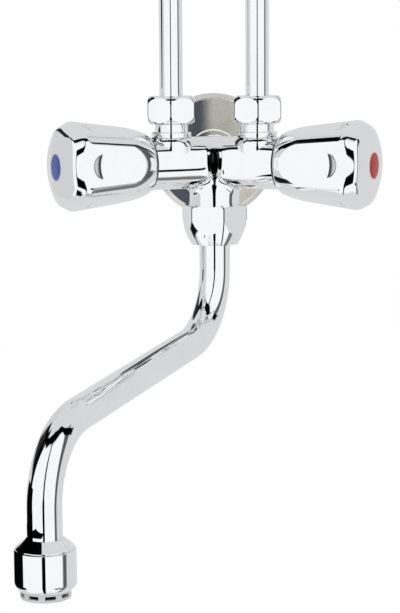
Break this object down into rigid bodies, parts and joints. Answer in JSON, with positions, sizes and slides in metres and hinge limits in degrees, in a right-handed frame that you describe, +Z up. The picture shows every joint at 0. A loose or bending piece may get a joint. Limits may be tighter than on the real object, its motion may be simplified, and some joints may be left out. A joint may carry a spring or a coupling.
{
  "type": "two-handle wall mixer tap",
  "caption": "Chrome wall-mounted mixer tap with lobed knobs, a swivelling S-shaped spout with aerator, and upright pipes to a water heater above the sink.",
  "frame": {"origin": "centre of the wall inlet, on the wall plane that the rosette's rim touches", "axes": "+X to the user's right (hot side), +Y into the wall, +Z up; the tap stands off the wall towards -Y"},
  "size_m": [0.1775, 0.2505, 0.3579],
  "materials": {
    "chrome_brass": "mirror chrome plate on cast or turned brass",
    "chrome_tube": "mirror chrome plate on drawn brass or copper tube",
    "satin_steel": "satin finish, softly reflecting",
    "chrome_knob": "mirror chrome plate on die-cast zinc",
    "blue_disc": "gloss blue",
    "red_disc": "gloss red",
    "bare_brass": "turned, unplated",
    "fibre": "pressed fibre",
    "black_rubber": "moulded rubber",
    "white_plastic": "acetal",
    "grey_plastic": "moulded, fine satin",
    "stainless": "stainless steel"
  },
  "bodies": {
    "spout": {"aerator_gasket": "black_rubber", "aerator_housing": "chrome_brass", "aerator_insert": "grey_plastic", "aerator_screen": "stainless", "spout_oring": "black_rubber", "spout_outlet_collar": "chrome_brass", "spout_sleeve": "bare_brass", "spout_tube": "chrome_tube"},
    "body": {"body_casting": "chrome_brass", "cold_bonnet": "bare_brass", "cold_bonnet_gasket": "fibre", "heater_feed_nut": "chrome_brass", "heater_feed_olive": "bare_brass", "heater_feed_pipe": "chrome_tube", "heater_return_nut": "chrome_brass", "heater_return_olive": "bare_brass", "heater_return_pipe": "chrome_tube", "hot_bonnet": "bare_brass", "hot_bonnet_gasket": "fibre", "inlet_nipple": "bare_brass", "inlet_seal_ring": "fibre", "spout_lower_ring": "white_plastic", "spout_nut": "chrome_brass", "spout_upper_ring": "white_plastic", "wall_rosette": "satin_steel"},
    "cold_knob": {"cold_index_disc": "blue_disc", "cold_knob": "chrome_knob", "cold_knob_screw": "stainless", "cold_spindle": "bare_brass", "cold_spindle_circlip": "stainless", "cold_spindle_oring": "black_rubber", "cold_spline_insert": "white_plastic"},
    "cold_jumper": {"cold_jumper": "bare_brass", "cold_seat_washer": "black_rubber", "cold_washer_screw": "bare_brass"},
    "hot_knob": {"hot_index_disc": "red_disc", "hot_knob": "chrome_knob", "hot_knob_screw": "stainless", "hot_spindle": "bare_brass", "hot_spindle_circlip": "stainless", "hot_spindle_oring": "black_rubber", "hot_spline_insert": "white_plastic"},
    "hot_jumper": {"hot_jumper": "bare_brass", "hot_seat_washer": "black_rubber", "hot_washer_screw": "bare_brass"}
  },
  "joints": [
    {"name": "spout_swivel", "type": "hinge", "parent": "body", "child": "spout", "pos_m": [0, -0.06, -0.03], "axis": [0, 0, 1], "range_deg": [-74.5, 125.5]},
    {"name": "cold_knob_turn", "type": "hinge", "parent": "body", "child": "cold_knob", "pos_m": [0, -0.06, 0], "axis": [-0.8988, -0.4384, 0], "range_deg": [0, 900]},
    {"name": "cold_jumper_lift", "type": "slide", "parent": "body", "child": "cold_jumper", "axis": [-0.8988, -0.4384, 0], "range_m": [0, 0.005]},
    {"name": "hot_knob_turn", "type": "hinge", "parent": "body", "child": "hot_knob", "pos_m": [0, -0.06, 0], "axis": [0.8988, -0.4384, 0], "range_deg": [0, 900]},
    {"name": "hot_jumper_lift", "type": "slide", "parent": "body", "child": "hot_jumper", "axis": [0.8988, -0.4384, 0], "range_m": [0, 0.005]}
  ],
  "couplings": [
    {"joint": "cold_jumper_lift", "follows": "cold_knob_turn", "m_per_rad": 0.00031831},
    {"joint": "hot_jumper_lift", "follows": "hot_knob_turn", "m_per_rad": 0.00031831}
  ]
}
